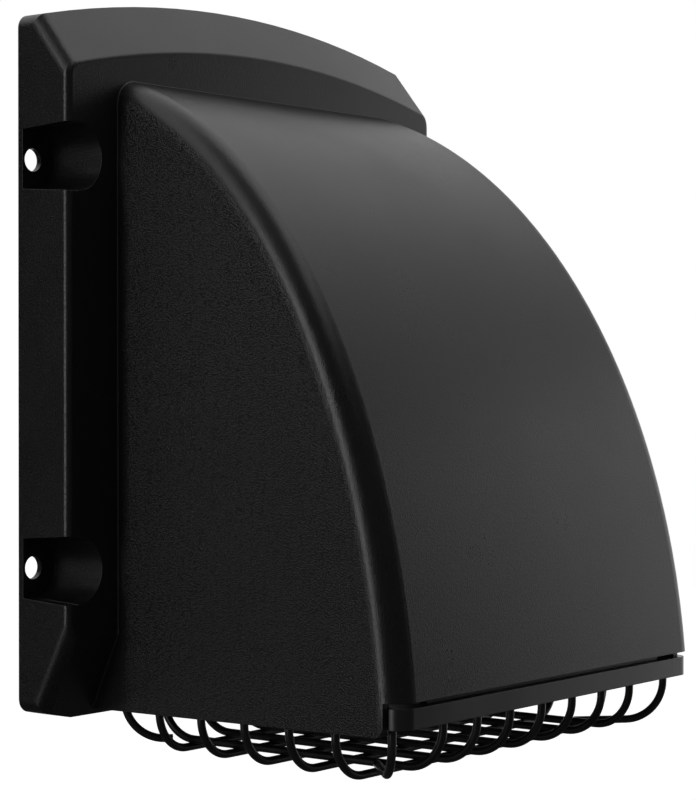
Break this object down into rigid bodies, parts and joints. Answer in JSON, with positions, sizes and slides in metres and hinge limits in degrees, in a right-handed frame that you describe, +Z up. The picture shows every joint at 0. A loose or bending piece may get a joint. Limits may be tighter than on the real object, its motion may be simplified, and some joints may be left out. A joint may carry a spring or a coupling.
{
  "type": "dryer vent cap",
  "caption": "Wall cap for a dryer vent: a curved hood on an arched flange, open below behind a wire guard, with a duct pipe and a gravity damper inside.",
  "frame": {"origin": "in the wall plane, at the middle of the four screw holes, which is also the duct pipe's axis", "axes": "+Z up the wall, +Y into the wall along the duct pipe, +X to the right for someone who faces the wall; the hood faces -Y"},
  "size_m": [0.171, 0.1555, 0.2182],
  "materials": {
    "moulded_plastic": "fine moulded grain, semi-matte",
    "smooth_plastic": "smooth satin moulding",
    "coated_wire": "glossy black coating",
    "foam": "closed-cell foam",
    "pin_steel": "drawn steel"
  },
  "bodies": {
    "cap": {"hood_shell": "moulded_plastic", "guard_frame": "smooth_plastic", "guard_cross_wires": "coated_wire", "guard_fore_wires": "coated_wire", "guard_corner_wires": "coated_wire", "duct_collar": "smooth_plastic", "damper_pin": "pin_steel"},
    "damper": {"damper_flap": "smooth_plastic", "damper_seal": "foam"}
  },
  "joints": [
    {"name": "damper_swing", "type": "hinge", "parent": "cap", "child": "damper", "pos_m": [0, -0.02, 0.058], "axis": [-1, 0, 0], "range_deg": [0, 45]}
  ]
}
